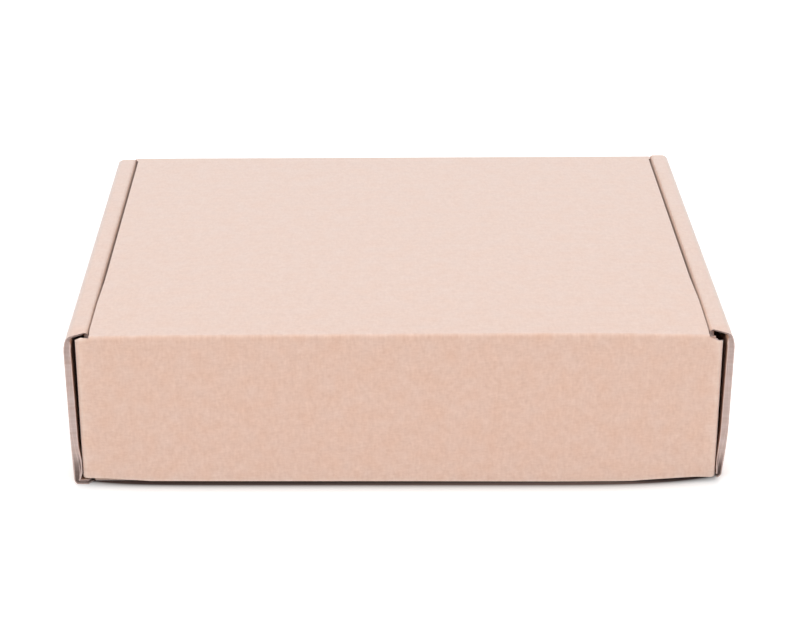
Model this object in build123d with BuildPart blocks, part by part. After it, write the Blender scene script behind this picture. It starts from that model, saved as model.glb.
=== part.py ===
from build123d import *
import os
from math import asin, atan2, cos, sin

# A closed die-cut mailing box, folded from one sheet of fluted board.
# Millimetres. +Z is up, the front faces -Y, and the origin is on the floor under the middle.
# The sheet is divided only at the two creases that turn in use: tray, lid and front flap.

# Sizes of the closed box
base_width = 248.0            # across the two lower side folds
box_depth = 200.0             # from the front flap's face to the back wall's face
box_height = 62.0             # from the floor to the lid's upper face

# The board and its folds
board = 2.0                   # thickness of the board
fold_inner_radius = 0.3       # inside of a tight fold
fold_land = 0.3               # straight board kept behind a cut fold
ply_clearance = 0.15          # between two plies that lie side by side
lid_clearance = 0.2           # between the lid and the wall edges under it
overrun = 6.0                 # how far a cut reaches past the board

# Double side walls: outer panel, strip on top, inner panel
panel_lean = 1.2              # the outer panel leans out by this much
widest_drop = 5.0             # and is widest this far below the top
panel_bow_radius = 14.0       # bend of the board at that widest line
strip_return = 0.9            # the strip's outer edge comes back in by this much
strip_fold_radius = 2.0       # middle of the soft fold at the strip's outer edge
strip_width = 8.0             # strip on top of the wall
inner_lean_drop = 12.0        # the inner panel leans in down to this depth, then stands plumb
ear_slit = 2.3                # open slit between the outer panel and the tuck ear
panel_front_setback = 0.6     # raw front edge of the outer panel, behind the flap's face
panel_back_setback = 0.3      # raw back edge of the outer panel
strip_end_setback = 1.2       # front end of the strip's outer edge, behind that raw edge

# Locking tabs under the inner panels, and their slots in the base
tab_length = 30.0
tab_spacing = 96.0
tab_recess = 0.2              # the tabs end this far above the floor
tab_clearance = 0.3           # between a tab and its slot

# Front and back walls with their dust flaps
front_wall_gap = 0.3          # between the front wall and the flap that covers it
dust_flap_length = 46.0
dust_flap_relief = 2.0        # between their upper edge and the lean of the inner panel
dust_flap_lower_taper = 9.0   # the free end is cut back from below
dust_flap_upper_taper = 5.0   # and from above

# Lid
lid_side_gap = 0.7            # open line between the lid and each strip
lid_root_gap = 0.25           # the same beside the hinge crease, where the lid is wider
lid_root_length = 5.0         # length of that wider root
lid_edge_radius = 1.7         # rounding of the two creases that border the lid

# Front flap and its tuck ears
flap_floor_gap = 1.5          # the flap ends this far above the floor
shoulder_drop = 2.0           # the flap's shoulders slope down beside the lid
corner_rise = 1.2             # its lower edge rises towards the corners
corner_run = 32.0             # over this length
ear_clearance = 0.5           # between the ear and the strip's end as the box opens
ear_end_height = 8.0          # the ear's free end is this tall
ear_end_radius = 2.5          # rounding at that end
flap_turn_share = 1.0         # the flap turns this much for each turn of the lid
ear_lift_shares = (0.17, 0.41, 0.69, 1.0)    # points along the ear's upper edge

# Places worked out from the sizes
fold_middle_radius = fold_inner_radius + board / 2
fold_outer_radius = fold_inner_radius + board
lower_half = base_width / 2
widest_half = lower_half + panel_lean
strip_half = widest_half - strip_return
strip_inner = strip_half - strip_width
flap_half = widest_half - board - ear_slit
ear_middle = flap_half - board / 2
dust_middle = ear_middle - board - ply_clearance
inner_middle = dust_middle - board - ply_clearance
inner_bottom = board + ply_clearance
lid_half = strip_inner - lid_side_gap
lid_root_half = strip_inner - lid_root_gap

front_face = -box_depth / 2
back_face = box_depth / 2
flap_middle = front_face + board / 2
front_wall_face = front_face + board + front_wall_gap
front_wall_middle = front_wall_face + board / 2
back_wall_middle = back_face - board / 2
panel_front = front_face + panel_front_setback
panel_back = back_face - panel_back_setback
fold_depth = fold_outer_radius + fold_land
inner_panel_front = front_wall_face + fold_depth + ply_clearance
inner_panel_back = back_face - fold_depth - ply_clearance
strip_end_outer = panel_front + strip_end_setback
strip_end_inner = inner_panel_front
ear_share = (strip_half - flap_half) / strip_width
strip_end_at_ear = strip_end_outer + ear_share * (strip_end_inner - strip_end_outer)
lid_under = box_height - board
wall_top = lid_under - lid_clearance
flap_top = lid_under - lid_clearance
flat_wall_half = dust_middle - fold_middle_radius


def dust_wall(wall_middle, inward):
    """Front or back wall seen from above: a U whose arms are the dust flaps.

    The arms run from the wall along inward (+1 or -1 in Y) and lie inside the double side walls.
    They are lower than the wall, and their free ends are cut back from below and from above.
    """
    wall_face = wall_middle - inward * board / 2
    fold_end = wall_face + inward * fold_depth
    flap_end = wall_middle + inward * dust_flap_length
    flap_top_edge = box_height - inner_lean_drop - dust_flap_relief
    with BuildPart() as wall:
        with BuildSketch(Plane.XY.offset(inner_bottom)):
            with BuildLine():
                FilletPolyline(
                    (-dust_middle, flap_end),
                    (-dust_middle, wall_middle),
                    (dust_middle, wall_middle),
                    (dust_middle, flap_end),
                    radius=fold_middle_radius,
                )
            trace(line_width=board)
        extrude(amount=wall_top - inner_bottom)
        with BuildSketch(Plane.YZ.offset(-dust_middle - overrun)):
            with BuildLine():
                Polyline(
                    (wall_face, inner_bottom),
                    (flap_end - inward * dust_flap_lower_taper, inner_bottom),
                    (flap_end, inner_bottom + dust_flap_lower_taper),
                    (flap_end, flap_top_edge - dust_flap_upper_taper),
                    (flap_end - inward * dust_flap_upper_taper, flap_top_edge),
                    (fold_end, flap_top_edge),
                    (fold_end, wall_top),
                    (wall_face, wall_top),
                    close=True,
                )
            make_face()
        extrude(amount=2 * (dust_middle + overrun), mode=Mode.INTERSECT)
    return wall.part


front_wall = dust_wall(front_wall_middle, 1)
back_wall = dust_wall(back_wall_middle, -1)

# Tray: the base with its double side walls, front wall and back wall
with BuildPart() as tray:
    # The section across the box: inner panel, strip and outer panel of each side, and the base
    right_side = [
        (lower_half - board / 2, board / 2),
        (widest_half - board / 2, box_height - widest_drop),
        (strip_half - board / 2, box_height - board / 2),
        (strip_inner + board / 2, box_height - board / 2),
        (inner_middle, box_height - inner_lean_drop),
        (inner_middle, inner_bottom),
    ]
    left_side = [(-x, z) for x, z in reversed(right_side)]
    side_radii = [
        fold_middle_radius,
        panel_bow_radius,
        strip_fold_radius,
        fold_middle_radius,
        panel_bow_radius,
    ]
    with BuildSketch(Plane.XZ.offset(-panel_back)):
        with BuildLine():
            FilletPolyline(*left_side, *right_side, radius=[*reversed(side_radii), *side_radii])
        trace(line_width=board)
    extrude(amount=panel_back - panel_front)

    # The base ends behind the rounded folds of the front and back walls
    base_cut_half = lower_half - fold_outer_radius
    base_front = front_wall_face + fold_outer_radius
    base_back = back_face - fold_outer_radius
    with BuildSketch():
        with BuildLine():
            Polyline(
                (-base_cut_half, base_front),
                (-base_cut_half, front_face - overrun),
                (base_cut_half, front_face - overrun),
                (base_cut_half, base_front),
                close=True,
            )
        make_face()
        with BuildLine():
            Polyline(
                (-base_cut_half, base_back),
                (-base_cut_half, back_face + overrun),
                (base_cut_half, back_face + overrun),
                (base_cut_half, base_back),
                close=True,
            )
        make_face()
    extrude(amount=board, mode=Mode.SUBTRACT)

    # Each strip ends in front in a slanted cut, so that the tuck ear can enter the wall
    strip_cut_depth = board / 2 + strip_fold_radius
    with BuildSketch(Plane.XY.offset(box_height - strip_cut_depth)):
        for side in (-1, 1):
            with BuildLine():
                Polyline(
                    (side * (strip_half + overrun), strip_end_outer),
                    (side * strip_half, strip_end_outer),
                    (side * strip_inner, strip_end_inner),
                    (side * (strip_inner - overrun), strip_end_inner),
                    (side * (strip_inner - overrun), front_face - overrun),
                    (side * (strip_half + overrun), front_face - overrun),
                    close=True,
                )
            make_face()
    extrude(amount=strip_cut_depth + overrun, mode=Mode.SUBTRACT)

    # The inner panels end before the folds of the front and back walls
    inner_cut_half = strip_inner + fold_outer_radius
    with BuildSketch(Plane.XY.offset(board)):
        for side in (-1, 1):
            for near, far in ((inner_panel_front, front_face - overrun),
                              (inner_panel_back, back_face + overrun)):
                with BuildLine():
                    Polyline(
                        (side * (inner_middle - overrun), near),
                        (side * inner_cut_half, near),
                        (side * inner_cut_half, far),
                        (side * (inner_middle - overrun), far),
                        close=True,
                    )
                make_face()
    extrude(amount=lid_under - board, mode=Mode.SUBTRACT)

    # The section along the box: front wall, base and back wall
    with BuildSketch(Plane.YZ.offset(-flat_wall_half)):
        with BuildLine():
            FilletPolyline(
                (front_wall_middle, wall_top),
                (front_wall_middle, board / 2),
                (back_wall_middle, board / 2),
                (back_wall_middle, wall_top),
                radius=fold_middle_radius,
            )
        trace(line_width=board)
    extrude(amount=2 * flat_wall_half)

    # Slots in the base, each with a locking tab of the inner panel in it
    tab_places = [
        (side * inner_middle, end * tab_spacing / 2) for side in (-1, 1) for end in (-1, 1)
    ]
    with BuildSketch():
        with Locations(*tab_places):
            Rectangle(board + 2 * tab_clearance, tab_length + 2 * tab_clearance)
    extrude(amount=board, mode=Mode.SUBTRACT)
    with BuildSketch(Plane.XY.offset(tab_recess)):
        with Locations(*tab_places):
            Rectangle(board, tab_length)
    extrude(amount=inner_bottom - tab_recess)

    add(front_wall)
    add(back_wall)

# Lid: a panel between the strips, a little wider beside its hinge crease
with BuildPart() as lid:
    root_start = back_face - lid_root_length
    root_slope_start = root_start - (lid_root_half - lid_half)
    with BuildSketch(Plane.XY.offset(lid_under)):
        with BuildLine():
            Polyline(
                (-lid_half, front_face),
                (lid_half, front_face),
                (lid_half, root_slope_start),
                (lid_root_half, root_start),
                (lid_root_half, back_face),
                (-lid_root_half, back_face),
                (-lid_root_half, root_start),
                (-lid_half, root_slope_start),
                close=True,
            )
        make_face()
    extrude(amount=board)
    upper_edges = lid.edges().filter_by(Axis.X).group_by(Axis.Z)[-1]
    fillet(upper_edges, radius=lid_edge_radius)


def strip_end_on_ear(lift):
    """Where the strip's end meets the ear's plane when the lid is lifted by an angle.

    Lid and flap turn together, so the strip's lower front edge draws a curve on the ear.
    The result is the distance behind the flap's face and the depth below the lid's face.
    """
    gap = strip_end_at_ear - front_face - ear_clearance
    behind = gap - box_depth * (1 - cos(lift))
    below = board + ear_clearance + box_depth * sin(lift)
    turn = (1 + flap_turn_share) * lift
    return behind * cos(turn) + below * sin(turn), below * cos(turn) - behind * sin(turn)


# Front flap: hangs from the lid outside the front wall, with an ear folded back at each end
with BuildPart() as front_flap:
    swing_radius = box_height - flap_floor_gap
    last_below = swing_radius - ear_end_height
    last_lift = asin((last_below - board - ear_clearance) / box_depth)
    curve = [strip_end_on_ear(share * last_lift) for share in ear_lift_shares]
    upper_edge = [(front_face + behind, box_height - below) for behind, below in curve]
    end_behind, end_below = curve[-1]
    end_angle = atan2(end_behind, end_below)
    root_angle = atan2(fold_depth, swing_radius)
    lower_edge = [
        (front_face + swing_radius * sin(angle), box_height - swing_radius * cos(angle))
        for angle in (end_angle, (end_angle + root_angle) / 2, root_angle)
    ]
    end_foot = lower_edge[0]
    ear_root = lower_edge[-1][0]
    root_top = (ear_root, upper_edge[0][1])
    with BuildSketch(Plane.XY.offset(flap_floor_gap)):
        with BuildLine():
            FilletPolyline(
                (-ear_middle, end_foot[0]),
                (-ear_middle, flap_middle),
                (ear_middle, flap_middle),
                (ear_middle, end_foot[0]),
                radius=fold_middle_radius,
            )
        trace(line_width=board)
    extrude(amount=flap_top - flap_floor_gap)

    # Cut seen from the side: the flap's own board, and the ear below the strip's curve
    with BuildSketch(Plane.YZ.offset(-flap_half)):
        with BuildLine():
            Polyline(
                (front_face, flap_floor_gap),
                (ear_root, flap_floor_gap),
                (ear_root, flap_top),
                (front_face, flap_top),
                close=True,
            )
        make_face()
        with BuildLine():
            Line(root_top, upper_edge[0])
            Spline(*upper_edge)
            Line(upper_edge[-1], end_foot)
            ThreePointArc(*lower_edge)
            Line(lower_edge[-1], root_top)
        make_face()
        ear_ends = vertices().group_by(Axis.X)[-2:]
        fillet(ear_ends[0] + ear_ends[1], radius=ear_end_radius)
    extrude(amount=2 * flap_half, mode=Mode.INTERSECT)

    # Cut seen from the front: sloping shoulders and rising lower corners
    with BuildSketch(Plane.XZ.offset(-end_foot[0] - overrun)):
        for side in (-1, 1):
            with BuildLine():
                Polyline(
                    (side * lid_half, flap_top),
                    (side * flap_half, flap_top - shoulder_drop),
                    (side * (flap_half + overrun), flap_top - shoulder_drop),
                    (side * (flap_half + overrun), flap_top + overrun),
                    (side * lid_half, flap_top + overrun),
                    close=True,
                )
            make_face()
            with BuildLine():
                Polyline(
                    (side * (flap_half - corner_run), flap_floor_gap),
                    (side * flap_half, flap_floor_gap + corner_rise),
                    (side * (flap_half + overrun), flap_floor_gap + corner_rise),
                    (side * (flap_half + overrun), flap_floor_gap - overrun),
                    (side * (flap_half - corner_run), flap_floor_gap - overrun),
                    close=True,
                )
            make_face()
    extrude(amount=end_foot[0] - front_face + 2 * overrun, mode=Mode.SUBTRACT)

os.makedirs("parts", exist_ok=True)
tray.part.label = "tray"
lid.part.label = "lid"
front_flap.part.label = "front_flap"
export_step(tray.part, "parts/tray.step")
export_step(lid.part, "parts/lid.step")
export_step(front_flap.part, "parts/front_flap.step")
print("flap half width", round(flap_half, 2), "lid half width", round(lid_half, 2))
print("ear reaches", round(end_foot[0] - front_face, 2), "behind the flap's face")
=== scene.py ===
# %% [markdown]
# # A die-cut mailing box
# The real box is one sheet of fluted kraft board, cut by a die and folded up with no glue. Its side walls
# are rolled over twice and end in a strip on top, a lid hangs on the back wall, and a flap on the lid covers
# the front and tucks an ear into each side wall. This lesson folds the same sheet again, panel by panel.
# Every length of the box is written in millimetres and turned into metres when its mesh is made. Only the
# floor's size and the lamps are written in metres.

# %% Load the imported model
from math import pi, radians

import bpy
import numpy as np
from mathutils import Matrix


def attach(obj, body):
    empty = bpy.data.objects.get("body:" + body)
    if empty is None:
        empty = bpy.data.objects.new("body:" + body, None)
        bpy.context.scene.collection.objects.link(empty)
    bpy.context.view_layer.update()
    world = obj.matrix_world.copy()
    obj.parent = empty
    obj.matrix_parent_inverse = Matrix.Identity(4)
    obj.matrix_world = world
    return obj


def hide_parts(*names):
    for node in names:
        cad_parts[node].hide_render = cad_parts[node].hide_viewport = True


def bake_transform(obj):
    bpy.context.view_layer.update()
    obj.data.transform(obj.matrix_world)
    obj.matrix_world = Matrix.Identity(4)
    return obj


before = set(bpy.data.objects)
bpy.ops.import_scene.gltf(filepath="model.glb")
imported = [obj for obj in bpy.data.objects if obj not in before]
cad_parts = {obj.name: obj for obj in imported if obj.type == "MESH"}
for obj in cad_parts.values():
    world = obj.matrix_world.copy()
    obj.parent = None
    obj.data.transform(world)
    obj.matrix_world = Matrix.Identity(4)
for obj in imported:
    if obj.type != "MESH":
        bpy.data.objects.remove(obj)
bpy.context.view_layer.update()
METRE = 0.001

# %% [markdown]
# ## The camera
# The photo looks slightly down at the front, from about a metre away and almost square on. The corners of
# the lid and of the flap gave the focal length and the tilt.

# %% Camera at the photo's viewing angle
IMAGE_WIDTH, FOCAL_PIXELS, SENSOR_WIDTH = 800, 2222.0, 36.0
EYE = np.array([-10.2, -854.0, 398.0])
LOOK_DOWN, LOOK_ASIDE = radians(23.62), radians(-0.784)
camera_data = bpy.data.cameras.new("camera")
camera_data.sensor_width = SENSOR_WIDTH
camera_data.lens = FOCAL_PIXELS / IMAGE_WIDTH * SENSOR_WIDTH
camera = bpy.data.objects.new("camera", camera_data)
camera.location = EYE * METRE
camera.rotation_euler = (pi / 2 - LOOK_DOWN, 0.0, LOOK_ASIDE)
bpy.context.collection.objects.link(camera)
bpy.context.scene.camera = camera
print("lens", round(camera_data.lens, 1), "mm")

# %% [markdown]
# ## A folded line
# Each panel of the sheet is straight board, and each fold is a short tight arc. So a wall seen from its end
# is a polyline with rounded corners. The helper below walks along such a line and returns points, the
# direction that looks to the right of the walk, and the length of sheet used so far. That length later
# places the pattern of the paper, so the pattern runs round the folds as it does on real board.

# %% Rounded path
TINY = 1e-12


def rounded_path(corners, radii, spacing, arc_cells=8):
    """Straight runs joined by tangent arcs: at a corner of turn a and radius r the run stops r tan(a/2)
    early, and the arc is the run's end turned about a centre that lies r to the side. A run that its arcs
    use up adds no point. Returns points, right-hand normals and the length walked."""
    corners = np.asarray(corners, float)
    runs = np.diff(corners, axis=0)
    ways = runs / np.linalg.norm(runs, axis=1)[:, None]
    points, rights = [corners[:1]], [np.array([[ways[0][1], -ways[0][0]]])]
    place = corners[0]
    for k, way in enumerate(ways):
        last = k == len(ways) - 1
        turn = 0.0 if last else np.arctan2(np.cross(way, ways[k + 1]), way @ ways[k + 1])
        cut = 0.0 if last else radii[k] * np.tan(abs(turn) / 2)
        stop = corners[k + 1] - way * cut
        cells = int(np.ceil(np.linalg.norm(stop - place) / spacing - TINY))
        share = np.linspace(0, 1, cells + 1)[1:, None]
        right = np.array([way[1], -way[0]])
        points.append(place + share * (stop - place))
        rights.append(np.repeat(right[None], cells, axis=0))
        if last:
            break
        angle = np.linspace(0, turn, arc_cells + 1)[1:]
        turned = np.stack([right[0] * np.cos(angle) - right[1] * np.sin(angle),
                           right[0] * np.sin(angle) + right[1] * np.cos(angle)], axis=1)
        side = np.sign(turn) * radii[k]
        points.append(stop - right * side + turned * side)
        rights.append(turned)
        place = points[-1][-1]
    points, rights = np.concatenate(points), np.concatenate(rights)
    walked = np.concatenate([[0], np.cumsum(np.linalg.norm(np.diff(points, axis=0), axis=1))])
    return points, rights, walked


def steps(value, knots):
    """Straight lines between knots of value and result."""
    knots = np.array(knots, float)
    return np.interp(value, knots[:, 0], knots[:, 1])


corner_walked = rounded_path([(0, 0), (10, 0), (10, 10)], [2.0], spacing=5.0)[2][-1]
print("a 2 mm fold shortens a corner of 20 mm to", round(corner_walked, 2), "mm")

# %% [markdown]
# ## Board with a fluted edge
# Fluted board is two flat liners with a wavy sheet between them. On its faces only the liners show, but on
# every cut edge the wave shows as a row of small arches. A bump map can't give that in a close view, so the
# edge is made as geometry: between the liners the cut is pushed in wherever there is air. Along the flutes
# the same rule gives one long groove, as the raw front edges of the side walls show. A die and a hand also
# crush, pinch and rub the board, so the helper takes values for each of these at every point of its grid.

# %% Sizes of the board
BOARD, LINER, WAVE_PAPER, FLUTE_PITCH = 2.0, 0.3, 0.24, 3.6
EDGE_ROWS, FULL_DEPTH, PAPER_BLUR = 10, 1.2, 0.06
CRUSH, CRUSH_WAVES = 0.35, ((0.31, 0.47), (-0.11, 0.173))
OUTSIDE, INSIDE, CUT, ROLLED = range(4)


def hollow(across, over):
    """How much air is at a point of a cut edge, 0 to 1. Over runs from -1 to 1 through the board. The liners
    fill both ends, and the wave fills a band about a sine of the length across the flutes."""
    half = BOARD / 2
    inside = 1 - LINER / half
    band = WAVE_PAPER / half / 2
    wave = (inside - band) * np.sin(2 * pi * across / FLUTE_PITCH)
    in_liner = np.clip((np.abs(over) - inside) / PAPER_BLUR + 0.5, 0, 1)
    in_wave = np.clip((band - np.abs(over - wave)) / PAPER_BLUR + 0.5, 0, 1)
    return 1 - np.maximum(in_liner, in_wave)


cut_sample = hollow(np.linspace(0, FLUTE_PITCH, 200)[:, None], np.linspace(-1, 1, 200))
print("air in a cut across the flutes", round(cut_sample.mean(), 2))


# %% Faces and free edges of a grid
def faces_and_edges(middle, normal, kept):
    """Four points for each kept cell, in the order that looks along the normal, and two points for each
    side of a kept cell that has no kept cell beside it."""
    ids = np.arange(middle.shape[0] * middle.shape[1]).reshape(middle.shape[:2])
    a, b, c, d = ids[:-1, :-1], ids[1:, :-1], ids[1:, 1:], ids[:-1, 1:]
    around = np.pad(kept, 1)
    beside = [around[1:-1, :-2], around[2:, 1:-1], around[1:-1, 2:], around[:-2, 1:-1]]
    corner = middle[:-1, :-1]
    turned = np.cross(middle[1:, :-1] - corner, middle[:-1, 1:] - corner)
    if (turned * normal[:-1, :-1])[kept].sum() < 0:
        b, d = d, b
        beside = beside[::-1]
    pairs = [(a, b), (b, c), (c, d), (d, a)]
    edges = [np.stack(pair, -1)[kept & ~other] for pair, other in zip(pairs, beside)]
    return np.stack([a, b, c, d], axis=-1)[kept], np.concatenate(edges)


# %% A board from its middle surface
def board_faces(middle, normal, sheet, kept, depth=FULL_DEPTH, undercut=0.0, swell=0.0, shift=0.0, wear=0.0,
                rolled=False):
    """Closed board about a grid of middle points: each face is the middle moved by half the board along the
    normal, and each free edge is joined through the board by rows of points that sink by depth times the air
    at that point. The sinking varies along the edge by the product of a sine and a cosine, as a die crushes
    it. Undercut draws the inner face back from the edge. Swell thickens the board inwards, or pinches it
    where it is negative. Shift moves the flutes along the edge. Cells that are rolled get the finish of
    paper that is turned into the box. Two marks come last: the air at each point, which the cut edge's
    material paints dark as shade, and the wear of the outer face, which is partly wear and partly painted
    highlight."""
    grid = middle.shape[:2]
    count = grid[0] * grid[1]
    outer, edges = faces_and_edges(middle, normal, kept)
    flat_middle, flat_normal, flat_sheet = (v.reshape(count, -1) for v in (middle, normal, sheet))
    deep, drawn, thick, moved, worn_and_lit = (np.broadcast_to(v, grid).reshape(-1, 1)
                                         for v in (depth, undercut, swell, shift, wear))
    along = flat_middle[edges[:, 1]] - flat_middle[edges[:, 0]]
    along /= np.linalg.norm(along, axis=1)[:, None] + TINY
    inward = np.zeros((count, 3))
    for end in (0, 1):
        np.add.at(inward, edges[:, end], -np.cross(along, flat_normal[edges[:, end]]))
    rim = np.unique(edges)
    inward = inward[rim] / (np.linalg.norm(inward[rim], axis=1)[:, None] + TINY)
    over = np.linspace(-1, 1, EDGE_ROWS + 1)
    across = flat_sheet[rim, 1] + moved[rim, 0]
    short, long = (flat_sheet[rim, 0] * u + across * v for u, v in CRUSH_WAVES)
    uneven = 1 - CRUSH * (0.5 + 0.5 * np.sin(short) * np.cos(long))
    air = hollow(across[:, None], over[None, :])
    deep = deep[rim] * uneven[:, None]
    lower = (1 - over) / 2
    wall = (flat_middle[rim][:, None]
            + flat_normal[rim][:, None] * (over * BOARD / 2 - lower * thick[rim])[..., None]
            + inward[:, None] * (deep * air + lower * drawn[rim])[..., None])
    inner = flat_middle - flat_normal * (BOARD / 2 + thick)
    inner[rim] += inward * drawn[rim]
    points = np.concatenate([flat_middle + flat_normal * BOARD / 2, inner, wall[:, 1:-1].reshape(-1, 3)])
    marks = np.zeros((len(points), 2))
    marks[2 * count:, 0] = (air * np.clip(deep / FULL_DEPTH, 0, 1))[:, 1:-1].ravel()
    marks[:count, 1] = worn_and_lit[:, 0]
    pattern = np.concatenate([flat_sheet, flat_sheet, np.repeat(flat_sheet[rim], EDGE_ROWS - 1, axis=0)])
    ladder = np.zeros((count, EDGE_ROWS + 1), int)
    ladder[:, -1] = np.arange(count)
    ladder[:, 0] = count + np.arange(count)
    ladder[rim, 1:-1] = 2 * count + np.arange(len(rim) * (EDGE_ROWS - 1)).reshape(len(rim), -1)
    p, q = ladder[edges[:, 0]], ladder[edges[:, 1]]
    edge_quads = np.stack([p[:, :-1], q[:, :-1], q[:, 1:], p[:, 1:]], axis=-1).reshape(-1, 4)
    quads = np.concatenate([outer, outer[:, ::-1] + count, edge_quads])
    finish = np.repeat([OUTSIDE, INSIDE, CUT], [len(outer), len(outer), len(edge_quads)])
    finish[:len(outer)][np.broadcast_to(rolled, kept.shape)[kept]] = ROLLED
    used = np.unique(quads)
    renumber = np.zeros(len(points), int)
    renumber[used] = np.arange(len(used))
    return points[used], renumber[quads], finish, pattern[used], marks[used]


# %% Mesh object of a board
SHARP_TURN = radians(40)


def make_board(name, middle, normal, sheet, kept, materials, **edge):
    """Put the board's points, faces, finishes, sheet map and marks into one mesh object at the origin."""
    points, quads, finish, pattern, marks = board_faces(middle, normal, sheet, kept, **edge)
    mesh = bpy.data.meshes.new(name)
    mesh.from_pydata((points * METRE).tolist(), [], quads.tolist())
    for material in materials:
        mesh.materials.append(material)
    mesh.polygons.foreach_set("material_index", finish.astype(np.int32))
    mesh.polygons.foreach_set("use_smooth", np.ones(len(quads), bool))
    layer = mesh.uv_layers.new(name="sheet")
    layer.data.foreach_set("uv", (pattern[quads.ravel()] * METRE).astype(np.float32).ravel())
    for title, values in zip(("air", "wear"), marks.T):
        mesh.attributes.new(title, "FLOAT", "POINT").data.foreach_set("value", values.astype(np.float32))
    mesh.update()
    mesh.set_sharp_from_angle(angle=SHARP_TURN)
    piece = bpy.data.objects.new(name, mesh)
    bpy.context.collection.objects.link(piece)
    print(name, len(points), "points", len(quads), "faces")
    return piece


# %% [markdown]
# ## Kraft paper
# The liners are unprinted kraft: a pale pinkish brown with cloudy patches, short fibres and a faint washboard
# where the flutes press through. All of these follow the sheet, so the materials read the sheet map of each
# mesh, which is measured in metres along and across the flutes. The patches and fibres are shared by all
# finishes of the board, so they form one node group.

# %% Helpers for nodes
def link(tree, source, target):
    """Join an output to an input."""
    tree.links.new(source, target)


def math_node(tree, operation, first, second=0.0):
    """One step of arithmetic on sockets or plain numbers. Returns its output."""
    node = tree.nodes.new("ShaderNodeMath")
    node.operation = operation
    for socket, value in zip(node.inputs, (first, second)):
        if isinstance(value, (int, float)):
            socket.default_value = value
        else:
            link(tree, value, socket)
    return node.outputs[0]


def noise_node(tree, vector, stretch, detail, turn=0.0):
    """Noise on a vector that is stretched by so many waves per metre and turned about the sheet's normal."""
    mapping = tree.nodes.new("ShaderNodeMapping")
    mapping.inputs["Scale"].default_value = (*stretch, 1.0)
    mapping.inputs["Rotation"].default_value = (0.0, 0.0, turn)
    link(tree, vector, mapping.inputs["Vector"])
    noise = tree.nodes.new("ShaderNodeTexNoise")
    noise.inputs["Scale"].default_value = 1.0
    noise.inputs["Detail"].default_value = detail
    link(tree, mapping.outputs[0], noise.inputs["Vector"])
    return noise.outputs["Fac"]


# %% Patterns of the paper group
CLOUD_STRETCH, CLOUD_DETAIL, FINE_DETAIL = (310, 260), 4.0, 2.0
FIBRE_STRETCHES, FIBRE_TURNS = ((480, 1250), (1050, 340)), (radians(24), radians(-7))
PATCH_STRETCH, PATCH_TURN = (130, 140), radians(40)
GRAIN_TITLES = ("Cloud", "Fibre", "Washboard", "Patch")
paper = bpy.data.node_groups.new("kraft_paper", "ShaderNodeTree")
paper.interface.new_socket("Sheet", in_out="INPUT", socket_type="NodeSocketVector")
for title in GRAIN_TITLES:
    paper.interface.new_socket(title, in_out="INPUT", socket_type="NodeSocketFloat")
paper.interface.new_socket("Tint", in_out="OUTPUT", socket_type="NodeSocketColor")
paper.interface.new_socket("Height", in_out="OUTPUT", socket_type="NodeSocketFloat")
ins, outs = paper.nodes.new("NodeGroupInput"), paper.nodes.new("NodeGroupOutput")
sheet_in = ins.outputs["Sheet"]
cloud = noise_node(paper, sheet_in, CLOUD_STRETCH, CLOUD_DETAIL)
fibres = math_node(paper, "ADD", *(noise_node(paper, sheet_in, stretch, FINE_DETAIL, turn)
                                   for stretch, turn in zip(FIBRE_STRETCHES, FIBRE_TURNS)))
patch = noise_node(paper, sheet_in, PATCH_STRETCH, FINE_DETAIL, PATCH_TURN)
sheet_axes = paper.nodes.new("ShaderNodeSeparateXYZ")
link(paper, sheet_in, sheet_axes.inputs[0])
flute_angle = math_node(paper, "MULTIPLY", sheet_axes.outputs["Y"], 2 * pi / (FLUTE_PITCH * METRE))
ridge = math_node(paper, "SINE", flute_angle)
print("patterns of the paper", len(paper.nodes), "nodes")

# %% Tint and height of the paper group
CHANNEL_GAINS = ((1.0, 0.0), (1.6, 0.6), (2.0, 1.2))
FIBRE_HEIGHT, RIDGE_HEIGHT = 0.5, 0.15
cloud_part, fibre_part, ridge_part, patch_part = (
    math_node(paper, "MULTIPLY", math_node(paper, "SUBTRACT", pattern, mean), ins.outputs[title])
    for pattern, mean, title in ((cloud, 0.5, "Cloud"), (fibres, 1.0, "Fibre"), (ridge, 0.0, "Washboard"),
                                 (patch, 0.5, "Patch")))
tone = math_node(paper, "ADD", math_node(paper, "ADD", cloud_part, fibre_part), ridge_part)
channels = paper.nodes.new("ShaderNodeCombineColor")
for channel, (tone_gain, patch_gain) in zip(channels.inputs, CHANNEL_GAINS):
    varied = math_node(paper, "ADD", math_node(paper, "MULTIPLY", tone, tone_gain),
                       math_node(paper, "MULTIPLY", patch_part, patch_gain))
    link(paper, math_node(paper, "ADD", varied, 1.0), channel)
link(paper, channels.outputs[0], outs.inputs["Tint"])
height = math_node(paper, "ADD", math_node(paper, "MULTIPLY", fibres, FIBRE_HEIGHT),
                   math_node(paper, "MULTIPLY", ridge, RIDGE_HEIGHT))
link(paper, height, outs.inputs["Height"])
print("paper group", len(paper.nodes), "nodes")

# %% [markdown]
# ## Finishes of the board
# One sheet shows four finishes. The outer liner is pale and has a soft sheen, and its edges are rubbed paler
# still; on the flap these pale rims are partly wear and partly painted highlight. The inner liner is browner
# and dull, and its darkness is partly painted shade for the slits beside the flap. A cut edge is rough,
# greyer paper, and the air between the flutes is painted near-black as shade. Where the outer liner is rolled
# over into the box it keeps its colour but lies in the narrow gap beside the lid, where a strong sheen would
# glow, so it has less. The mesh carries two marks for this, its wear and its air, and each finish mixes
# towards a second colour by one of them.

# %% Material of a finish
ROUGHNESS, SHEEN_ROUGHNESS, BUMP_DISTANCE = 0.45, 0.53, 0.2


def colour_mix(tree, blend, factor, first, second):
    """Mix node for colours; a factor or colour that is not a socket is set as a constant."""
    node = tree.nodes.new("ShaderNodeMix")
    node.data_type = "RGBA"
    node.blend_type = blend
    for title, value in (("Factor", factor), ("A", first), ("B", second)):
        if isinstance(value, bpy.types.NodeSocket):
            link(tree, value, node.inputs[title])
        else:
            node.inputs[title].default_value = value
    return node.outputs["Result"]


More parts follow.
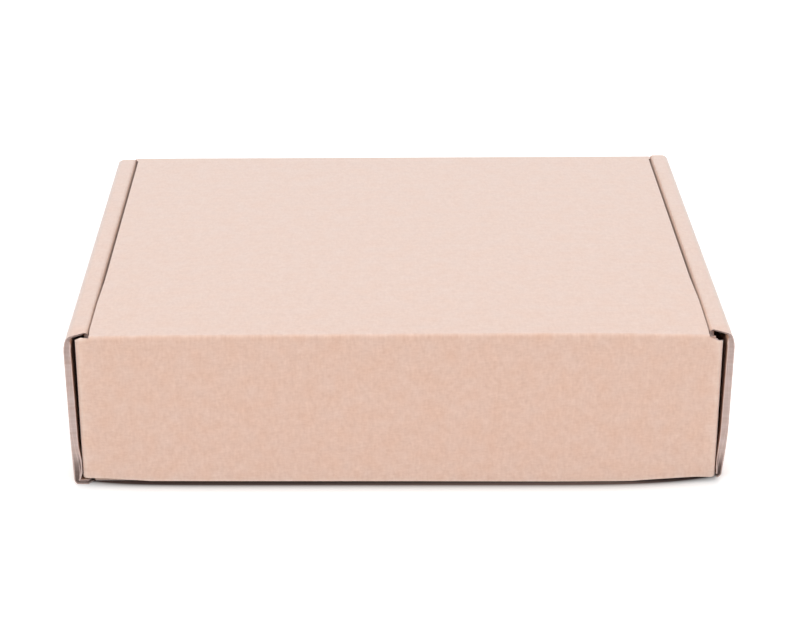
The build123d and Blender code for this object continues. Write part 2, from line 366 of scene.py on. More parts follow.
def board_material(name, colour, marked, mark, grain, bump, sheen, shine):
    """Colour of the paper, mixed to a marked colour by the mesh's air or wear, times the group's tint. By air
    the marked colour is painted shade in the flutes; by wear it is paler wear and painted highlight. Grain
    gives the strength of the four patterns, and the group's height is a fine bump."""
    material = bpy.data.materials.new(name)
    material.use_nodes = True
    tree = material.node_tree
    shader = tree.nodes["Principled BSDF"]
    where = tree.nodes.new("ShaderNodeUVMap")
    where.uv_map = "sheet"
    group = tree.nodes.new("ShaderNodeGroup")
    group.node_tree = paper
    link(tree, where.outputs[0], group.inputs["Sheet"])
    for title, value in zip(GRAIN_TITLES, grain):
        group.inputs[title].default_value = value
    marks = tree.nodes.new("ShaderNodeAttribute")
    marks.attribute_name = mark
    plain = colour_mix(tree, "MIX", marks.outputs["Fac"], (*colour, 1.0), (*marked, 1.0))
    tinted = colour_mix(tree, "MULTIPLY", 1.0, plain, group.outputs["Tint"])
    link(tree, tinted, shader.inputs["Base Color"])
    relief = tree.nodes.new("ShaderNodeBump")
    relief.inputs["Strength"].default_value = bump
    relief.inputs["Distance"].default_value = BUMP_DISTANCE * METRE
    link(tree, group.outputs["Height"], relief.inputs["Height"])
    link(tree, relief.outputs[0], shader.inputs["Normal"])
    shader.inputs["Roughness"].default_value = ROUGHNESS
    shader.inputs["Specular IOR Level"].default_value = shine
    shader.inputs["Sheen Weight"].default_value = sheen
    shader.inputs["Sheen Roughness"].default_value = SHEEN_ROUGHNESS
    return material


# %% The four finishes
# the paler colour is worn paper and also a painted highlight on the flap's edges
WORN_AND_HIGHLIT, FLUTE_PAINTED_SHADE = (0.86, 0.64, 0.53), (0.05, 0.022, 0.016)
OUTER_GRAIN, INNER_GRAIN = (0.13, 0.165, 0.003, 0.22), (0.10, 0.15, 0.012, 0.12)
CUT_GRAIN = (0.20, 0.24, 0.0, 0.0)
outside_paper = board_material("kraft_outside", (0.765, 0.507, 0.396), WORN_AND_HIGHLIT, "wear", OUTER_GRAIN,
                               bump=0.12, sheen=1.0, shine=0.5)
# the inner liner is browner, and its darkness is partly painted shade for the slits beside the flap
inside_paper = board_material("kraft_inside", (0.60, 0.37, 0.265), WORN_AND_HIGHLIT, "wear", INNER_GRAIN,
                              bump=0.16, sheen=0.05, shine=0.1)
# the cut edge is painted near-black by its air mark: painted shade in the flute hollows
cut_edge = board_material("kraft_cut_edge", (0.65, 0.495, 0.45), FLUTE_PAINTED_SHADE, "air", CUT_GRAIN,
                          bump=0.30, sheen=0.2, shine=0.2)
rolled_paper = board_material("kraft_rolled_in", (0.77, 0.515, 0.40), WORN_AND_HIGHLIT, "wear", OUTER_GRAIN,
                              bump=0.12, sheen=0.25, shine=0.2)
FINISHES = (outside_paper, inside_paper, cut_edge, rolled_paper)
print("finishes", [finish.name for finish in FINISHES])

# %% [markdown]
# ## The rolled side walls and the base
# Seen from the front, one strip of the sheet runs from the left inner panel over the left strip, down the
# outer panel, across the base and up again on the right. The outer panels lean out a little and are widest
# just below the top, as in the photo, and the right one stands a millimetre further in at its foot. So the
# piece is that section carried along the depth of the box, and the die's cuts are the two ends of the carry,
# which differ from panel to panel.

# %% Section of the side walls
HEIGHT, FRONT, DEPTH = 62.0, -100.0, 200.0
BASE_MIDDLE, LID_MIDDLE = BOARD / 2, HEIGHT - BOARD / 2
FOLD, ROLL_FOLD, STRIP_FOLD, BOW, BELLY = 1.3, 0.7, 2.0, 14.0, 150.0
LEFT_FOOT, RIGHT_FOOT = 123.2, 122.2
INNER_X, INNER_BOTTOM = 115.6, 2.15
wall_top = [(123.75, 20.0), (124.18, 57.0), (123.3, LID_MIDDLE), (117.3, LID_MIDDLE), (INNER_X, 50.0),
            (INNER_X, INNER_BOTTOM)]
left_wall = [(-x, z) for x, z in reversed(wall_top)] + [(-LEFT_FOOT, BASE_MIDDLE)]
right_wall = [(RIGHT_FOOT, BASE_MIDDLE)] + wall_top
wall_radii = [BOW, ROLL_FOLD, STRIP_FOLD, BOW, BELLY, FOLD]
section, section_right, section_length = rounded_path(
    left_wall + right_wall, wall_radii + wall_radii[::-1], spacing=3.0)
on_base = np.isclose(section[:, 1], BASE_MIDDLE)
section_length = section_length - (section_length - section[:, 0])[on_base].mean()
print("sheet across the box", round(section_length[-1] - section_length[0], 1), "mm")

# %% Lines of the grid that the locking tabs and their slots need
TAB_LENGTH, TAB_SPACING, TAB_END = 30.0, 96.0, 0.2
SLOT_HALF, SLOT_CLEARANCE, BEYOND = 1.3, 0.3, 1e3
tab_lines = [side * TAB_SPACING / 2 + end * (TAB_LENGTH / 2 + room)
             for side in (-1, 1) for end in (-1, 1) for room in (0.0, SLOT_CLEARANCE)]
slot_lines = np.array(sorted(side * (INNER_X + end * SLOT_HALF) for side in (-1, 1) for end in (-1, 1)))
place_on_base = np.where(on_base, section[:, 0], BEYOND * np.sign(section_length))
split_at = np.searchsorted(place_on_base, slot_lines)
slot_points = np.stack([slot_lines, np.full(len(slot_lines), BASE_MIDDLE)], 1)
section = np.insert(section, split_at, slot_points, axis=0)
section_right = np.insert(section_right, split_at, np.tile([0.0, -1.0], (len(slot_lines), 1)), axis=0)
section_length = np.insert(section_length, split_at, slot_lines, axis=0)
print("section points", len(section))

# %% Panels along the section
PANEL_SIDE, PANEL_HEIGHT, STRIP_SIDE, ROLL_SIDE, STRIP_MARGIN = 122.0, 57.5, 121.0, 118.0, 0.1
on_right = section_length > 0
walk = np.abs(section_length) + (LEFT_FOOT - RIGHT_FOOT) * on_right
side_x, side_z = np.abs(section[:, 0]), section[:, 1]
on_strip = side_z > LID_MIDDLE - STRIP_MARGIN
corner_walk = LEFT_FOOT - FOLD
panel_top = walk[(side_x > PANEL_SIDE) & (side_z > PANEL_HEIGHT)].min()
strip_top = walk[(side_x > STRIP_SIDE) & on_strip].min()
strip_in = walk[(side_x < ROLL_SIDE) & on_strip].max()
print("outer panel ends at", round(panel_top, 1), "strip from", round(strip_top, 1), "to", round(strip_in, 1))

# %% [markdown]
# ### Where the die cut the panels
# The base stops where the front and back walls fold up from it, and the outer panels reach almost to the
# box's front and back faces. On the left a small tongue of the base reaches further forward beside its
# corner, and the strip ends a few millimetres short at the back. So each line of the section gets its own two
# ends.

# %% Where each panel begins and ends in depth
FRONT_WALL_Y, BACK_WALL_Y = -96.7, 99.0
BASE_FRONT, BASE_BACK = FRONT_WALL_Y + FOLD, BACK_WALL_Y - FOLD
PANEL_FRONT, STRIP_FRONT, INNER_FRONT = -99.4, -98.2, -94.95
PANEL_BACK, INNER_BACK, SHORT_END = 99.7, 97.25, 3.0
TONGUE_WIDTH, TONGUE_FRONT, CORNER_STEP, BACK_STEP = 4.5, -99.0, 0.4, 2.0
front_end = steps(walk, [(0, BASE_FRONT), (corner_walk, BASE_FRONT), (corner_walk + CORNER_STEP, PANEL_FRONT),
                         (panel_top, PANEL_FRONT), (strip_top, STRIP_FRONT), (strip_in, INNER_FRONT)])
on_tongue = ~on_right & (walk > corner_walk - TONGUE_WIDTH) & (walk < corner_walk + CORNER_STEP)
front_end = np.where(on_tongue, TONGUE_FRONT, front_end)
back_end = steps(walk, [(0, BASE_BACK), (corner_walk, BASE_BACK), (corner_walk + CORNER_STEP, PANEL_BACK),
                        (strip_in, PANEL_BACK), (strip_in + BACK_STEP, INNER_BACK)])
on_left_strip = ~on_right & (walk > strip_top - BACK_STEP) & (walk < strip_in + STRIP_MARGIN)
back_end = back_end - SHORT_END * on_left_strip
print("front ends", front_end.min(), "to", front_end.max())

# %% Points of the side walls and the base
EVEN_LINES, MARGIN = np.linspace(-93.0, 95.0, 64), 0.01
lines = np.unique(np.concatenate([EVEN_LINES, tab_lines]).round(4))
depth_lines = np.concatenate([front_end[:, None], np.broadcast_to(lines, (len(walk), len(lines))),
                              back_end[:, None]], axis=1)
wall_middle = np.stack(np.broadcast_arrays(section[:, :1], depth_lines, section[:, 1:]), axis=-1)
wall_normal = np.zeros_like(wall_middle)
wall_normal[..., 0], wall_normal[..., 2] = section_right[:, :1], section_right[:, 1:]
wall_sheet = np.stack(np.broadcast_arrays(section_length[:, None], depth_lines), axis=-1)
in_tab = np.abs(np.abs(depth_lines[0]) - TAB_SPACING / 2) < TAB_LENGTH / 2 + MARGIN
wall_middle[[0, -1], :, 2] = np.where(in_tab, TAB_END, INNER_BOTTOM)
cell_x = (side_x[1:] + side_x[:-1]) / 2
cell_y = (depth_lines[0, 1:] + depth_lines[0, :-1]) / 2
on_base_cell = np.maximum(side_z[1:], side_z[:-1]) < BASE_MIDDLE + MARGIN
across_slot = on_base_cell & (np.abs(cell_x - INNER_X) < SLOT_HALF)
along_slot = np.abs(np.abs(cell_y) - TAB_SPACING / 2) < TAB_LENGTH / 2 + SLOT_CLEARANCE
in_slot = np.outer(across_slot, along_slot)
print("grid of the walls", depth_lines.shape, "with", in_slot.sum(), "cells cut out for slots")

# %% [markdown]
# ### Edges that were handled
# The raw front edges of a folded box are never even. Towards the front the outer panels flare inwards and
# look thicker, most of all low on the left. The right one is lifted about a millimetre at its foot. The
# strips' front ends are pinched thin, droop a little and are cut back below. These are small sums on the same
# grid: ramps up the height of the panel, times a ramp that is one at the front edge.

# %% How the front edges are flared, lifted, pinched and crushed
FLARE_START, FLARE_RUN = -86.0, 12.0
LEFT_FLARE = [(1.8, 0.0), (2.3, 0.5), (3.0, 1.1), (3.6, 1.28), (6.0, 1.38), (11.0, 1.48), (15.0, 0.8),
              (30.0, 0.75), (59.0, 0.6), (60.5, 0.0)]
RIGHT_FLARE = [(2.3, 0.0), (4.0, 0.4), (6.0, 0.55), (8.0, 0.72), (14.0, 0.78), (30.0, 0.75), (59.0, 0.6),
               (60.5, 0.0)]
FOOT_LIFT, LIFT_TOP, LIFT_LEAD = 1.3, 14.0, 1.0
STRIP_UNDERCUT, STRIP_DROOP, PINCH_LEFT, PINCH_RIGHT = 1.2, 0.4, 0.7, 0.85
FLUTE_SKEW, FLUTE_START = 0.062, 1.3


def over_strip(height, run_out):
    """Zero on the panels and a set height all over the strip, with straight ramps beside it."""
    knots = [(panel_top, 0), (strip_top, height), (strip_in, height), (strip_in + run_out, 0)]
    return steps(walk, knots)[:, None]


at_front = np.arange(depth_lines.shape[1])[None, :] == 0
near_front = np.clip((FLARE_START - depth_lines) / FLARE_RUN, 0, 1)
flared = np.where(on_right, steps(side_z, RIGHT_FLARE), steps(side_z, LEFT_FLARE)) * (walk < strip_top)
pinched = np.where(on_right, PINCH_RIGHT, PINCH_LEFT)[:, None] * over_strip(1.0, run_out=2.0)
on_right_panel = on_right * (walk > corner_walk - LIFT_LEAD) * (walk < panel_top)
foot_lift = steps(side_z, [(BASE_MIDDLE, FOOT_LIFT), (LIFT_TOP, 0.0)]) * on_right_panel
wall_middle[..., 2] += foot_lift[:, None] * near_front
wall_middle[..., 2] -= over_strip(STRIP_DROOP, run_out=3.0) * at_front
# the raw edge's flutes are open at the foot and crushed above it
edge_depth = steps(walk, [(corner_walk + 3.0, 1.1), (corner_walk + 14.0, 0.2), (panel_top - 9.0, 0.2),
                          (panel_top, 0.4), (strip_top, 0.25), (strip_in, 0.25),
                          (strip_in + 4.0, 0.6)])[:, None]
flute_shift = (FLUTE_START + FLUTE_SKEW * np.clip(walk - corner_walk, 0, None))[:, None]
print("flare up to", flared.max().round(2), "mm, foot lifted by up to", foot_lift.max().round(2), "mm")

# %% Build the side walls and the base
rolled_in = (walk[1:] + walk[:-1])[:, None] / 2 > strip_in
side_walls = make_board("side_walls_and_base", wall_middle, wall_normal, wall_sheet, ~in_slot, FINISHES,
                        depth=edge_depth, undercut=over_strip(STRIP_UNDERCUT, run_out=2.0) * at_front,
                        swell=flared[:, None] * near_front - pinched * at_front, shift=flute_shift,
                        rolled=rolled_in)
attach(side_walls, "tray")
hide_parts("tray")

# %% [markdown]
# ## Front and back walls
# Each of these walls is folded up from the base, and at both ends it goes on round a corner as a dust flap
# that lies inside the double side wall. In plan that is a U, and from the side the flaps are lower than the
# wall and cut back at their free ends. So the grid runs across the sheet one way and up the wall the other
# way, and the rows are squeezed between a lower and an upper outline that change along the U.

# %% Plan of a wall that turns a corner at each end
WALL_FOOT, FOLD_LENGTH = BASE_MIDDLE + FOLD, FOLD * pi / 2
DUST_X, DUST_ARM, DUST_TOP, DUST_FOOT, TOP_CUT, FOOT_CUT = 117.75, 46.0, 48.0, 2.15, 5.0, 9.0
FOLD_START, FOLD_END = -0.8, 0.3
WALL_ROWS, WALL_SPACING, FOOT_SPACING = np.linspace(0, 1, 25), 4.0, 5.0


def corner_plan(half, arm_end, face_y, inward, spacing):
    """Half a U in plan: straight to half minus the fold, a quarter turn of the fold's radius, then straight
    to arm_end. Mirrored about the middle. Returns places, outward normals and the length from the middle."""
    path, right, walked = rounded_path([(0.0, face_y), (half, face_y), (half, arm_end)], [FOLD], spacing)
    outward = right * np.sign(right[0] @ np.array([0.0, -inward]))
    mirrored = np.concatenate([path[:0:-1] * [-1, 1], path])
    normals = np.concatenate([outward[:0:-1] * [-1, 1], outward])
    return mirrored, normals, np.concatenate([-walked[:0:-1], walked])


# %% Build the front and back walls
def wall_board(name, face_y, inward, top):
    """A wall from its fold on the base to a top edge, with a dust flap at each end: rows of the base fold are
    kept only across the flat wall, and rows of the wall run between the outlines of wall and flap."""
    plan, outward, across = corner_plan(DUST_X, face_y + inward * DUST_ARM, face_y, inward, WALL_SPACING)
    fold_line, fold_right, fold_length = rounded_path(
        [(face_y + inward * FOLD, BASE_MIDDLE), (face_y, BASE_MIDDLE), (face_y, WALL_FOOT)], [FOLD],
        FOOT_SPACING)
    fold_out = fold_right * np.sign(fold_right[0] @ np.array([0.0, -1.0]))
    behind = np.abs(across) - (DUST_X - FOLD + FOLD_LENGTH)
    end = DUST_ARM - FOLD
    upper = steps(behind, [(FOLD_START, top), (FOLD_END, DUST_TOP), (end - TOP_CUT, DUST_TOP),
                           (end, DUST_TOP - TOP_CUT)])
    lower = steps(behind, [(FOLD_START, WALL_FOOT), (0.0, DUST_FOOT), (end - FOOT_CUT, DUST_FOOT),
                           (end, DUST_FOOT + FOOT_CUT)])
    rise = lower[:, None] + (upper - lower)[:, None] * WALL_ROWS
    folded = len(fold_line) - 1
    middle = np.zeros((len(plan), folded + len(WALL_ROWS), 3))
    normal = np.zeros_like(middle)
    middle[:, :folded, 0], middle[:, :folded, 1:] = plan[:, :1], fold_line[:-1]
    normal[:, :folded, 1:] = fold_out[:-1]
    middle[:, folded:, :2], middle[:, folded:, 2] = plan[:, None], rise
    normal[:, folded:, :2] = outward[:, None]
    up = np.concatenate([np.broadcast_to(fold_length[:-1], (len(plan), folded)),
                         fold_length[-1] + rise - WALL_FOOT], 1)
    sheet_y = face_y + inward * FOLD - inward * up
    sheet = np.stack(np.broadcast_arrays(across[:, None], sheet_y), -1)
    flat = np.abs(across) < DUST_X - FOLD + MARGIN
    kept = np.ones((len(plan) - 1, folded + len(WALL_ROWS) - 1), bool)
    kept[:, :folded] = (flat[1:] & flat[:-1])[:, None]
    return make_board(name, middle, normal, sheet, kept, FINISHES)


FRONT_TOP, HINGE_SEAM = 59.8, 57.4
front_wall = wall_board("front_wall", FRONT_WALL_Y, 1, FRONT_TOP)
back_wall = wall_board("back_wall", BACK_WALL_Y, -1, HINGE_SEAM)
for piece in (front_wall, back_wall):
    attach(piece, "tray")

# %% [markdown]
# ## The lid's hinge
# The lid is not a separate part: the back wall goes on over a crease and becomes the lid. This narrow piece
# is that crease, between the top of the back wall and the lid.

# %% Crease between the back wall and the lid
ROOT_HALF, HINGE_COLUMNS, HINGE_SPACING = 116.05, 41, 0.8
hinge_corners = [(BACK_WALL_Y, HINGE_SEAM), (BACK_WALL_Y, LID_MIDDLE), (BASE_BACK, LID_MIDDLE)]
crease, crease_right, crease_length = rounded_path(hinge_corners, [FOLD], HINGE_SPACING, arc_cells=10)
hinge_x = np.linspace(-ROOT_HALF, ROOT_HALF, HINGE_COLUMNS)
hinge_middle = np.zeros((len(hinge_x), len(crease), 3))
hinge_middle[..., 0], hinge_middle[..., 1:] = hinge_x[:, None], crease
hinge_normal = np.zeros_like(hinge_middle)
hinge_normal[..., 1:] = crease_right
hinge_start = BASE_BACK + FOLD_LENGTH + HINGE_SEAM - WALL_FOOT
hinge_sheet = np.stack(np.broadcast_arrays(hinge_x[:, None], hinge_start + crease_length), -1)
hinge_kept = np.ones((len(hinge_x) - 1, len(crease) - 1), bool)
hinge = make_board("lid_hinge_crease", hinge_middle, hinge_normal, hinge_sheet, hinge_kept, FINISHES,
                   depth=0.0)
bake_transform(hinge)

# %% [markdown]
# ## Lid and front flap
# The lid, the front crease and the flap are one run of sheet, so they are one grid: across the sheet one way,
# and from the hinge over the crease to the flap's lower edge the other way. Beside the lid the sheet is cut
# away. Beside the flap it goes on round a corner as the tuck ear. The ear's upper edge follows the curve that
# the end of the strip draws on it while lid and flap open together, and its lower edge lies on the circle
# that the flap's edge swings on.

# %% Outline of the tuck ear
FLAP_Y, EAR_X, LID_HALF, SWING = -99.0, 119.9, 115.6, 60.5
EAR_CLEARANCE, EAR_ROUND, EAR_END_HEIGHT = 0.5, 2.5, 8.0
STRIP_OUTER, STRIP_WIDTH = 124.3, 8.0
LIFT_SHARES = np.linspace(0.17, 1.0, 30)
strip_share = (STRIP_OUTER - EAR_X - BOARD / 2) / STRIP_WIDTH
strip_end_at_ear = STRIP_FRONT + strip_share * (INNER_FRONT - STRIP_FRONT)


def strip_end_on_ear(lift):
    """The strip's lower front edge seen from the flap: lifted with the lid, then turned by lid and flap."""
    behind = strip_end_at_ear - FRONT - EAR_CLEARANCE - DEPTH * (1 - np.cos(lift))
    below = BOARD + EAR_CLEARANCE + DEPTH * np.sin(lift)
    return (behind * np.cos(2 * lift) + below * np.sin(2 * lift),
            below * np.cos(2 * lift) - behind * np.sin(2 * lift))


last_lift = np.arcsin((SWING - EAR_END_HEIGHT - BOARD - EAR_CLEARANCE) / DEPTH)
ear_behind, ear_below = strip_end_on_ear(LIFT_SHARES * last_lift)
ear_end = ear_behind[-1]
ear_foot = SWING * np.sin(np.arctan2(ear_end, ear_below[-1]))
print("ear reaches", round(ear_end, 2), "mm behind the flap's face, and", round(ear_foot, 2), "at its foot")

# %% Lines across the lid and the flap, and rows over the crease
CREASE, LID_ROWS, FLAP_SPACING = 0.8, 491, 6.0
CREASE_LENGTH = CREASE * pi / 2
EDGE_LINES = np.array([LID_HALF, LID_HALF - 1.0, 112.0])
plan, plan_out, across = corner_plan(EAR_X, FRONT + ear_end, FLAP_Y, 1, FLAP_SPACING)
edge_x = np.concatenate([-EDGE_LINES, EDGE_LINES])
plan = np.concatenate([plan, np.stack([edge_x, np.full(len(edge_x), FLAP_Y)], 1)])
plan_out = np.concatenate([plan_out, np.tile([0.0, -1.0], (len(edge_x), 1))])
across = np.concatenate([across, edge_x])
order = np.unique(across.round(5), return_index=True)[1]
plan, plan_out, across = plan[order], plan_out[order], across[order]
lid_y = np.linspace(BASE_BACK, FLAP_Y + CREASE, LID_ROWS)
lid_walk = np.concatenate([FLAP_Y + CREASE - lid_y, np.linspace(0, CREASE_LENGTH / 2, 6)[1:-1]])


def over_the_crease(walked):
    """Along the lid (negative), over the quarter turn and down the flap. The turn's angle is the length
    walked divided by the radius. Returns y, z, and the sine and cosine that tip the normal from up to
    forward."""
    angle = np.clip(walked / CREASE, 0, pi / 2)
    y = FLAP_Y + CREASE - CREASE * np.sin(angle) - np.minimum(walked, 0)
    z = LID_MIDDLE - CREASE * (1 - np.cos(angle)) - np.maximum(walked - CREASE_LENGTH, 0)
    return y, z, np.sin(angle), np.cos(angle)


print("lid rows", len(lid_walk), "columns", len(across))

# %% [markdown]
# ### An outline that lies askew
# A hand has closed this box, so its flap hangs a little crooked. Its lower edge is higher at the ends than in
# the middle and lower on the right, its two shoulders stand at different heights, and the lid is a little
# narrower in the middle than at the front. The outlines below are lists of knots in millimetres: a place
# across the sheet and the height there.

# %% Upper outline of the flap and its ears
SHOULDER_HEIGHTS, SHOULDER_STEP, EAR_STEP = (59.7, 58.84, 58.34), 0.4, 0.9
LEFT_LIFT, RIGHT_LIFT = 1.3, 0.5
reach = np.abs(across)
corner_start, corner_end = EAR_X - FOLD, EAR_X - FOLD + FOLD_LENGTH
back_reach = reach - corner_end + FOLD + BOARD / 2
floor_walk = CREASE_LENGTH + LID_MIDDLE - CREASE
shoulder_walk = [floor_walk - z for z in SHOULDER_HEIGHTS]
upper = steps(reach, [(LID_HALF, CREASE_LENGTH / 2), (corner_start, shoulder_walk[0]),
                      (corner_end, shoulder_walk[1]), (corner_end + SHOULDER_STEP, shoulder_walk[2]),
                      (corner_end + EAR_STEP, floor_walk - HEIGHT + ear_below[0])])
shoulder = steps(reach, [(LID_HALF, 0), (corner_start, 1), (corner_end, 1), (corner_end + EAR_STEP, 0)])
upper = upper - np.where(across < 0, LEFT_LIFT, RIGHT_LIFT) * shoulder
on_ear = back_reach > ear_behind[0]
upper = np.where(on_ear, floor_walk - HEIGHT + np.interp(back_reach, ear_behind, ear_below), upper)
print("flap starts", round(upper.min(), 1), "mm past the crease's start")

# %% Lower outline, rounded ear ends and rows of the flap
LOWER_EDGE = [(-120.0, 3.2), (-112.0, 3.0), (-94.6, 1.7), (-60.0, 1.4), (0.0, 0.95), (60.0, 0.4), (88.0, 0.4),
              (97.0, 1.1), (107.0, 1.7), (113.0, 2.1), (117.0, 2.0), (120.0, 1.9)]
FINE_RUN, FLAP_RUN = 1.2, 59.2
lower_edge = steps(across, LOWER_EDGE)
lean = (ear_foot - ear_end) * np.clip((back_reach - ear_behind[0]) / (ear_end - ear_behind[0]), 0, 1)
swing_z = HEIGHT - np.sqrt(SWING ** 2 - np.clip(back_reach + lean, 0, None) ** 2)
lower = floor_walk - np.where(back_reach > 0, np.maximum(lower_edge, swing_z), lower_edge)
near_end = np.clip(EAR_ROUND - (ear_end - back_reach), 0, EAR_ROUND)
rounding = EAR_ROUND - np.sqrt(EAR_ROUND ** 2 - near_end ** 2)
upper, lower = upper + rounding, lower - rounding
fine_rows, even_rows = np.linspace(0, FINE_RUN, 7)[:-1], np.linspace(FINE_RUN, FLAP_RUN, 121)
flap_rows = np.concatenate([fine_rows, even_rows]) / FLAP_RUN
flap_walk = upper[:, None] + (lower - upper)[:, None] * flap_rows
print("flap ends", round(lower.max(), 1), "mm past the crease's start")

# %% Points of the lid and the flap
WAIST = 0.35
LID_WIDTHS = [(-97.0, LID_HALF), (-93.0, LID_HALF + 0.3), (-68.0, LID_HALF + 0.2), (-45.0, LID_HALF - WAIST),
              (94.5, LID_HALF - WAIST), (95.0, ROOT_HALF)]
folded = len(lid_walk)
walked = np.concatenate([np.broadcast_to(lid_walk, (len(across), folded)), flap_walk], axis=1)
run_y, run_z, forward, upward = over_the_crease(walked)
on_flap = np.arange(walked.shape[1]) >= folded
leaning = lean[:, None] * np.concatenate([np.zeros(folded), flap_rows])
lid_x = across[:, None] * (steps(run_y, LID_WIDTHS) / LID_HALF)
flap_middle = np.stack([np.where(on_flap, plan[:, :1], lid_x),
                        run_y + np.where(on_flap, plan[:, 1:] - FLAP_Y, 0) + leaning, run_z], axis=-1)
flap_normal = np.stack([np.where(on_flap, plan_out[:, :1] * forward, 0),
                        np.where(on_flap, plan_out[:, 1:], -1) * forward, upward], axis=-1)
lid_start = hinge_start + crease_length[-1] - lid_walk[0]
flap_sheet = np.stack([across[:, None] + np.sign(across)[:, None] * leaning, lid_start + walked], -1)
flap_kept = np.ones((walked.shape[0] - 1, walked.shape[1] - 1), bool)
on_lid = reach < LID_HALF + MARGIN
flap_kept[:, :folded] = (on_lid[1:] & on_lid[:-1])[:, None]
print("grid of lid and flap", walked.shape)

# %% Droop of the front corners
DROOP_LEFT, DROOP_RIGHT, DROOP_POWER, DROOP_REACH = 0.3, 1.05, 4, 22.0
HANG_START, HANG_RUN = 25.0, 36.0
droop = np.where(across < 0, DROOP_LEFT, DROOP_RIGHT) * np.clip(reach / LID_HALF, 0, 1) ** DROOP_POWER
near_crease = np.exp(-(np.clip(flap_middle[..., 1] - FLAP_Y, 0, None) / DROOP_REACH) ** 2)
hang = np.clip((flap_middle[..., 2] - HANG_START) / HANG_RUN, 0, 1) ** 2
flap_middle[..., 2] -= droop[:, None] * near_crease * hang
print("front corners droop by", DROOP_LEFT, "and", DROOP_RIGHT, "mm")

# %% Wear and painted highlights along the flap's edges, and the finished board
SHOULDER_BAND, SHOULDER_DEPTH, SHOULDER_START, SHOULDER_END, FAR = 0.6, 0.1, 0.1, 0.5, 99.0
from_edge, from_fold = lower[:, None] - walked, reach[:, None] - (EAR_X - 0.5 * FOLD)
beside_lid = (reach > LID_HALF + SHOULDER_START) & (reach < corner_end + SHOULDER_END)
at_shoulder = on_flap & beside_lid[:, None]
from_shoulder = np.where(at_shoulder, walked - upper[:, None], FAR)
# pale rims on the flap's lower edge, ear folds and shoulders: partly rubbing, partly painted highlight where
# they catch light; the broad band over the lower part is painted light against the shade near the floor
rubs_and_highlights = [strength * np.exp(-(away / width) ** 2) for strength, away, width in (
    (0.9, from_edge, 1.1), (0.4, from_fold, 1.0), (0.9, from_shoulder, 0.8), (0.25, from_edge, 9.0))]
flap_wear = on_flap * np.maximum.reduce(np.broadcast_arrays(*rubs_and_highlights))
flap_depth = np.where(from_shoulder < SHOULDER_BAND, SHOULDER_DEPTH, FULL_DEPTH)
lid_and_flap = make_board("lid_and_front_flap", flap_middle, flap_normal, flap_sheet, flap_kept, FINISHES,
                          depth=flap_depth, wear=flap_wear)
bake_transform(lid_and_flap)
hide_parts("lid", "front_flap")

# %% [markdown]
# ## Floor, world and light
# The photo is a packshot: a white sweep, soft light from the front and from above, and only a thin dark line
# under the flap. The floor is white, and for the rays that the camera sees it adds a little light of its own,
# so that it comes out white while the contact shadow stays. Under the box the floor's colour is a painted
# contact shadow: it is dark there and fades to white around it. That painted patch has two front edges. The
# one that the camera sees lies just before the flap and draws back at the box's corners, a little more on the
# right. The one for bounced light lies further back along the middle, so that white floor still lights the
# flap's lower edge.

# %% White floor that keeps the shadow, with a painted contact shadow under the box
FLOOR_REACH, FLOOR_GLOW = 1.35, 0.4
# the second colour is the painted contact shadow under the box
FLOOR_WHITE, FLOOR_PAINTED_SHADOW = (0.88, 0.88, 0.88, 1.0), (0.14, 0.10, 0.09, 1.0)
SHADE_HALF, SHADE_FRONT, SHADE_BACK, SHADE_FADE, SHADE_SLOPE = 121.0, 101.2, 95.0, 2.6, 0.013
CORNER_DRAW, DRAW_SLOPE, CORNER_POWER, POWER_SLOPE = 6.0, 0.0125, 8.0, -17.0
BOUNCE_BACK, BOUNCE_FADE = 4.5, 0.8


def seen_rays(tree):
    """One for rays from the camera, off a mirror or through glass, and zero for all others."""
    rays = tree.nodes.new("ShaderNodeLightPath").outputs
    seen = math_node(tree, "MAXIMUM", rays["Is Camera Ray"], rays["Is Glossy Ray"])
    return math_node(tree, "MAXIMUM", seen, rays["Is Transmission Ray"])


def painted_shadow_fades(tree, seen):
    """Zero on the painted contact shadow under the box and one far from it: one minus the exponential of
    minus the distance from the painted patch over the length of the fade. Returns the fade that the camera
    sees, and the fade for all rays, which takes the other one for bounced light."""
    where = tree.nodes.new("ShaderNodeTexCoord")
    axes = tree.nodes.new("ShaderNodeSeparateXYZ")
    link(tree, where.outputs["Object"], axes.inputs[0])
    x, y = axes.outputs["X"], axes.outputs["Y"]
    aside = math_node(tree, "ABSOLUTE", x)
    power = math_node(tree, "ADD", math_node(tree, "MULTIPLY", x, POWER_SLOPE), CORNER_POWER)
    corner = math_node(tree, "POWER", math_node(tree, "DIVIDE", aside, SHADE_HALF * METRE), power)
    draw = math_node(tree, "ADD", math_node(tree, "MULTIPLY", x, DRAW_SLOPE), CORNER_DRAW * METRE)
    turned = math_node(tree, "SUBTRACT", math_node(tree, "MULTIPLY", y, -1.0),
                       math_node(tree, "MULTIPLY", x, SHADE_SLOPE))
    ahead = math_node(tree, "SUBTRACT", turned, SHADE_FRONT * METRE)
    beside = math_node(tree, "MAXIMUM", math_node(tree, "SUBTRACT", aside, SHADE_HALF * METRE), 0.0)
    behind = math_node(tree, "MAXIMUM", math_node(tree, "SUBTRACT", y, SHADE_BACK * METRE), 0.0)

    def fade_from(drawn_back, length):
        """The fade for a front edge that is drawn back by a value in metres."""
        front = math_node(tree, "MAXIMUM", math_node(tree, "ADD", ahead, drawn_back), 0.0)
        away = math_node(tree, "ADD", math_node(tree, "ADD", front, beside), behind)
        left = math_node(tree, "EXPONENT", math_node(tree, "MULTIPLY", away, -1 / (length * METRE)))
        return math_node(tree, "SUBTRACT", 1.0, left)

    middle = math_node(tree, "SUBTRACT", 1.0, corner)
    bounced_fade = fade_from(math_node(tree, "MULTIPLY", middle, BOUNCE_BACK * METRE), BOUNCE_FADE)
    seen_fade = fade_from(math_node(tree, "MULTIPLY", corner, draw), SHADE_FADE)
    more = math_node(tree, "MULTIPLY", seen, math_node(tree, "SUBTRACT", seen_fade, bounced_fade))
    return seen_fade, math_node(tree, "ADD", bounced_fade, more)


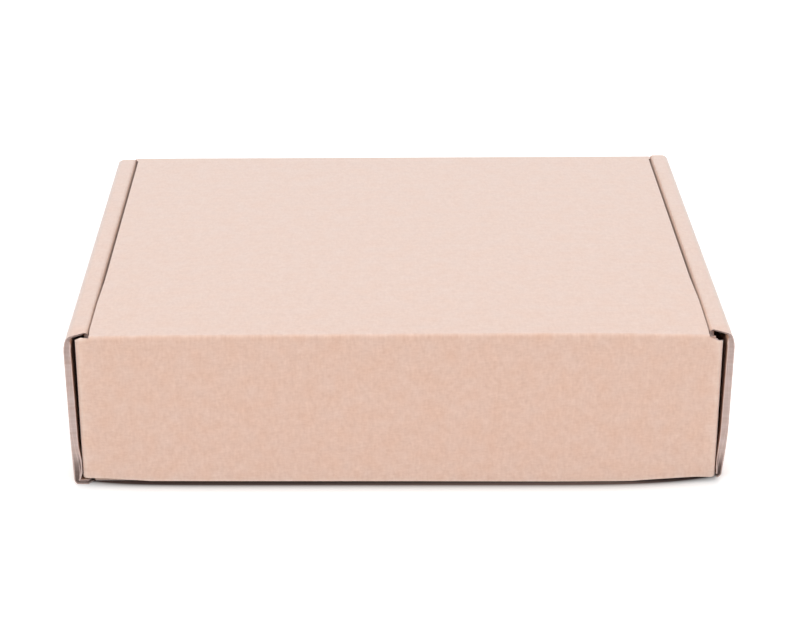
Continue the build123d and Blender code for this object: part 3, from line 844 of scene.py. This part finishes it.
def white_floor():
    """A flat square of white paper with a painted contact shadow under the box, and that glows where it is
    seen and white.
    """
    mesh = bpy.data.meshes.new("floor")
    corners = [(-1, -1), (1, -1), (1, 1), (-1, 1)]
    mesh.from_pydata([(x * FLOOR_REACH, y * FLOOR_REACH, 0) for x, y in corners], [], [(0, 1, 2, 3)])
    material = bpy.data.materials.new("floor_paper")
    material.use_nodes = True
    tree = material.node_tree
    seen = seen_rays(tree)
    seen_fade, fade = painted_shadow_fades(tree, seen)
    shader = tree.nodes["Principled BSDF"]
    shader.inputs["Roughness"].default_value = 1.0
    shader.inputs["Specular IOR Level"].default_value = 0.0
    # painted contact shadow: the floor's colour darkens under the box and fades to white around it
    link(tree, colour_mix(tree, "MIX", fade, FLOOR_PAINTED_SHADOW, FLOOR_WHITE), shader.inputs["Base Color"])
    shader.inputs["Emission Color"].default_value = (1.0, 1.0, 1.0, 1.0)
    glow = math_node(tree, "MULTIPLY", math_node(tree, "MULTIPLY", seen, seen_fade), FLOOR_GLOW)
    link(tree, glow, shader.inputs["Emission Strength"])
    mesh.materials.append(material)
    floor_object = bpy.data.objects.new("floor", mesh)
    bpy.context.collection.objects.link(floor_object)
    return floor_object


floor = white_floor()
print("floor", 2 * FLOOR_REACH, "m wide")

# %% World that is white to the camera and soft to the object
WORLD_LIGHT = 0.35
world = bpy.data.worlds.new("studio")
bpy.context.scene.world = world
world.use_nodes = True
sky = world.node_tree
back = sky.nodes["Background"]
level = math_node(sky, "ADD", math_node(sky, "MULTIPLY", seen_rays(sky), 1 - WORLD_LIGHT), WORLD_LIGHT)
back.inputs["Color"].default_value = (1.0, 1.0, 1.0, 1.0)
link(sky, level, back.inputs["Strength"])
print("world lights the box at", WORLD_LIGHT)

# %% Softboxes
LOW_AIM, TOP_AIM = (0.0, -0.1, 0.03), (0.0, 0.0, 0.03)
SOFTBOXES = (("left_softbox", (-1.3, -1.1, 0.8), LOW_AIM, 1.1, 11.0),
             ("right_softbox", (1.3, -1.1, 0.8), LOW_AIM, 1.1, 11.0),
             ("top_softbox", (0.0, 0.5, 1.6), TOP_AIM, 1.6, 16.0))


def softbox(name, place, aim, size, watts):
    """Square area lamp at a place in metres, turned so that it looks at aim."""
    lamp = bpy.data.lights.new(name, "AREA")
    lamp.size = size
    lamp.energy = watts
    box = bpy.data.objects.new(name, lamp)
    box.location = place
    way = np.array(aim) - np.array(place)
    box.rotation_euler = (np.arctan2(np.hypot(way[0], way[1]), -way[2]), 0.0, np.arctan2(-way[0], way[1]))
    bpy.context.collection.objects.link(box)


for settings in SOFTBOXES:
    softbox(*settings)
bpy.context.scene.view_settings.view_transform = "Standard"
